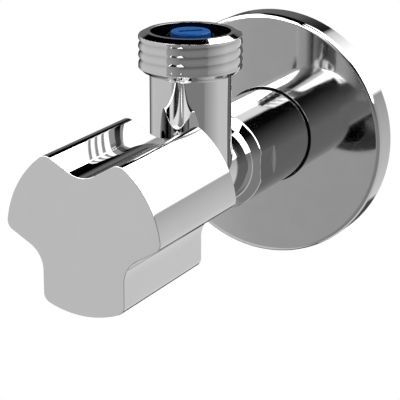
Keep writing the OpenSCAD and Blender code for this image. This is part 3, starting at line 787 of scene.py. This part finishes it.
def world_light():
    """Plain soft studio light. The part stands in white, and what it mirrors is a set of panels. Each
    is lit between two bearings and two heights, in degrees, and its edges fade over a few degrees. The
    bearing is 0 at +X and 90 at +Y. Diffuse surfaces get soft light that comes mostly from above."""
    world = bpy.data.worlds.new("studio")
    bpy.context.scene.world = world
    world.use_nodes = True
    shader = Shader(world.node_tree)
    world.node_tree.nodes.clear()
    x, y, z = shader.sides(shader.add("ShaderNodeTexCoord").outputs["Generated"])
    degrees = 180 / math.pi
    bearing = shader.product(shader.math("ARCTAN2", y, x), degrees)
    height = shader.product(shader.math("ARCSINE", z), degrees)

    def between(value, low, high, low_fade, high_fade):
        rise = shader.spread(value, low - low_fade / 2, low + low_fade / 2)
        fall = shader.spread(value, high - high_fade / 2, high + high_fade / 2, 1.0, 0.0)
        return shader.product(rise, fall)

    def panel(bearings, heights, light, sides=(3.0, 3.0), ends=(3.0, 3.0)):
        across = between(bearing, *bearings, *sides)
        return shader.product(shader.product(across, between(height, *heights, *ends)), light)

    def lamp(bearings, heights, light=6.0, sides=(0.6, 0.6), ends=(1.5, 1.5)):
        return panel(bearings, heights, light, sides, ends)

    # the walls shade from one bearing or height to another
    rise = shader.spread(height, -20, 6)
    shade = shader.spread(shader.product(rise, rise), 0, 1, 1.0, 0.70)
    right_wall = shader.product(shader.spread(bearing, -24, 24, 0.46, 0.94), shade)
    front_wall = shader.spread(height, -6, 24, 0.34, 0.005)
    left_wall = shader.spread(bearing, -118, -86, 0.56, 0.33)
    window = shader.spread(bearing, 76, 90, 2.6, 1.3)
    panels = [
        # the room around the part
        panel((150, 200), (-95, 25), 0.87, sides=(30.0, 3.0)),
        panel((-200, -117), (-95, 25), 0.87),
        panel((-117, -87), (-95, 8), left_wall),
        panel((-87, -40), (-95, 27), front_wall),
        panel((-40, -24), (-95, 16), front_wall),
        panel((-24, 92), (-95, 7), right_wall, ends=(3.0, 1.5)),
        panel((-24, 55), (7, 16), right_wall, ends=(1.5, 3.0)),
        panel((92, 128), (-95, 0), 0.08),
        panel((92, 150), (0, 23), 0.20, ends=(3.0, 6.0)),
        panel((-101, -88), (8, 14), 0.6),
        panel((155, 200), (25, 60), 3.4),
        panel((-200, -118), (25, 62), 3.4),
        # the window and the lamps
        lamp((55, 92), (7, 32), window, sides=(0.6, 3.0)),
        lamp((55, 92), (32, 70)),
        lamp((-25, 55), (16, 70)),
        lamp((-93, -70), (44, 72)),
        lamp((-62, -40), (40, 72)),
        lamp((-101, -88), (14, 36), 2.1, sides=(0.6, 3.0), ends=(3.0, 0.5)),
        lamp((-125, -101), (8, 52), ends=(0.5, 0.5))
    ]
    total = panels[0]
    for part in panels[1:]:
        total = shader.math("ADD", total, part)

    def background(colour, strength=1.0):
        node = shader.add("ShaderNodeBackground")
        shader.set(node.inputs["Color"], colour)
        shader.set(node.inputs["Strength"], strength)
        return node.outputs[0]

    def choose(share, first, second):
        node = shader.add("ShaderNodeMixShader")
        for k, part in enumerate((share, first, second)):
            shader.set(node.inputs[k], part)
        return node.outputs[0]

    path = shader.add("ShaderNodeLightPath").outputs
    diffuse = shader.math("MINIMUM", path["Diffuse Depth"], 1.0)
    soft_light = background(grey(1.0), shader.spread(z, -0.3, 1.0, 0.06, 0.62))
    seen_by_part = choose(diffuse, background(total), soft_light)
    output = shader.add("ShaderNodeOutputWorld")
    seen = choose(path["Is Camera Ray"], seen_by_part, background(grey(1.0)))
    shader.set(output.inputs["Surface"], seen)


def floor():
    """A large pale floor well below the part, which stands on nothing in the photograph."""
    half = 6.0
    level = -0.30
    mesh = bpy.data.meshes.new("floor")
    corners = [(-half, -half, level), (half, -half, level), (half, half, level), (-half, half, level)]
    mesh.from_pydata(corners, [], [(0, 1, 2, 3)])
    material = bpy.data.materials.new("pale_floor")
    material.use_nodes = True
    shader = Shader(material.node_tree)
    material.node_tree.nodes.clear()
    glow = shader.add("ShaderNodeEmission")
    output = shader.add("ShaderNodeOutputMaterial")
    shader.set(output.inputs["Surface"], glow.outputs[0])
    mesh.materials.append(material)
    piece = bpy.data.objects.new("floor", mesh)
    bpy.context.scene.collection.objects.link(piece)
    piece.visible_glossy = False
    piece.visible_diffuse = False
    piece.visible_shadow = False


def camera():
    """The camera at the photograph's angle, 0.4 m from the part. It stands level, to the right of the
    part's front, and looks down on it."""
    data = bpy.data.cameras.new("camera")
    data.sensor_width = 36.0
    data.lens = 162.3
    data.clip_start = 0.01
    view = bpy.data.objects.new("camera", data)
    turn_right = math.radians(26.981)
    look_down = math.radians(17.111)
    place = (0.16176, -0.35609, 0.10343)
    facing = Euler((QUARTER - look_down, 0, turn_right)).to_matrix().to_4x4()
    view.matrix_world = Matrix.Translation(place) @ facing
    bpy.context.scene.collection.objects.link(view)
    bpy.context.scene.camera = view


camera()
world_light()
floor()
bpy.context.scene.view_settings.view_transform = "Standard"

chrome = chrome_material()
plate_chrome = plate_material()
brass = turned_metal("turned_brass", (0.68, 0.50, 0.24, 1), (0.60, 0.42, 0.19, 1), 0.24)
steel = turned_metal("stainless_steel", (0.58, 0.58, 0.57, 1), (0.50, 0.50, 0.50, 1), 0.26)
rubber = plastic("black_rubber", (0.016, 0.016, 0.017, 1), (0.026, 0.026, 0.028, 1), 0.55, 1500.0)
blue = plastic("blue_plastic", (0.001, 0.042, 0.160, 1), (0.001, 0.038, 0.148, 1), 0.34)
blue.node_tree.nodes["Principled BSDF"].inputs["Specular IOR Level"].default_value = 0.12
white_plastic = plastic("white_plastic", (0.78, 0.78, 0.75, 1), (0.72, 0.72, 0.69, 1), 0.38)
grey_plastic = plastic("grey_plastic", (0.20, 0.21, 0.22, 1), (0.16, 0.17, 0.18, 1), 0.42)

# the body
make_piece("body_casting", [skin(barrel_rings(), loop=True)], "body", chrome, ["valve_body"])
make_piece("outlet_neck", [skin(outlet_rings(), loop=True)], "body", chrome, ["valve_body"])

# the handle, whose hub stands on three ribs
make_piece("handle_shell", [skin(handle_rings())], "handle_set", chrome, ["handle"])
hub_section = [(HUB_BACK, HUB_BORE_R, 0.15), (HUB_BACK, HUB_R, 0.15)]
hub_section += [(HUB_FRONT, HUB_R, 0.05), (HUB_FRONT, HUB_BORE_R, 0.05)]
hub_skins = [turned_loop(hub_section, around_body)]
for k in range(3):
    turn = QUARTER + FULL * k / 3
    hub_skins.append(bar(RIB_START, RIB_END, RIB_HALF, HUB_BACK, HUB_FRONT, turn, on_body))
make_piece("handle_hub", hub_skins, "handle_set", chrome, ["handle"])

# the wall plate: a pressed disc with a ring behind its hole that holds the rubber grip ring
inside = PLATE_DEPTH - PLATE_WALL
plate_section = [(PLATE_DEPTH, PLATE_HOLE_R, 0.12), (PLATE_DEPTH, PLATE_R, PLATE_EDGE)]
plate_section += [(0, PLATE_R, PLATE_CORNER), (0, PLATE_R - PLATE_WALL, PLATE_CORNER)]
plate_section += [(inside, PLATE_R - PLATE_WALL, 0.8), (inside, HOLDER_R + HOLDER_WALL, 0.2)]
plate_section += [(HOLDER_BACK, HOLDER_R + HOLDER_WALL, 0.1), (HOLDER_BACK, HOLDER_R, 0.1)]
plate_section += [(inside, HOLDER_R, 0.1), (inside, PLATE_HOLE_R, 0.2)]
plate_skin = turned_loop(plate_section, around_body, AROUND_PLATE)
make_piece("wall_plate", [plate_skin], "wall_plate", plate_chrome, ["rosette"])

# the check valve's cage: the hub, a skirt with a flange, and three webs between them
cage_ring = [(SKIRT_BOTTOM, SKIRT_HOLE_R, 0.1), (SKIRT_BOTTOM, SKIRT_R, 0.15), (LEDGE_Z, SKIRT_R, 0.1)]
cage_ring += [(LEDGE_Z, FLANGE_R, 0.1), (FLANGE_TOP, FLANGE_R, 0.2), (FLANGE_TOP, SKIRT_HOLE_R, 0.2)]
cage_skins = [skin(cage_hub_rings()), turned_loop(cage_ring, around_outlet)]
for k in range(3):
    turn = SLOT_TURN + FULL * k / 3
    cage_skins.append(bar(WEB_START, WEB_END, WEB_HALF, CAGE_HUB_BOTTOM, WEB_TOP, turn, on_outlet))
make_piece("cartridge_cage", cage_skins, "body", blue, ["check_cage"])

# the check valve's spring, which is pressed towards its upper end when the plunger lifts
spring_low, spring_high = (corner[2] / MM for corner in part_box("check_spring"))
spring_skin = skin(spring_rings(spring_low, spring_high))
spring = make_piece("check_valve_spring", [spring_skin], "body", steel, ["check_spring"])
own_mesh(spring)

# the nodes of the model that keep their shape and get a finish
finishes = [
    (rubber, ["rosette_grip_ring", "spindle_o_ring_rear", "spindle_o_ring_front", "bonnet_o_ring"]),
    (rubber, ["seat_washer", "check_o_ring", "check_seal"]),
    (brass, ["spindle", "bonnet", "piston"]),
    (steel, ["spindle_circlip", "washer_screw", "outlet_clip"]),
    (white_plastic, ["thrust_washer", "check_seat_ring"]),
    (grey_plastic, ["handle_insert", "check_plunger"])
]
for finish, nodes in finishes:
    for node in nodes:
        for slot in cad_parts[node].material_slots:
            slot.material = finish
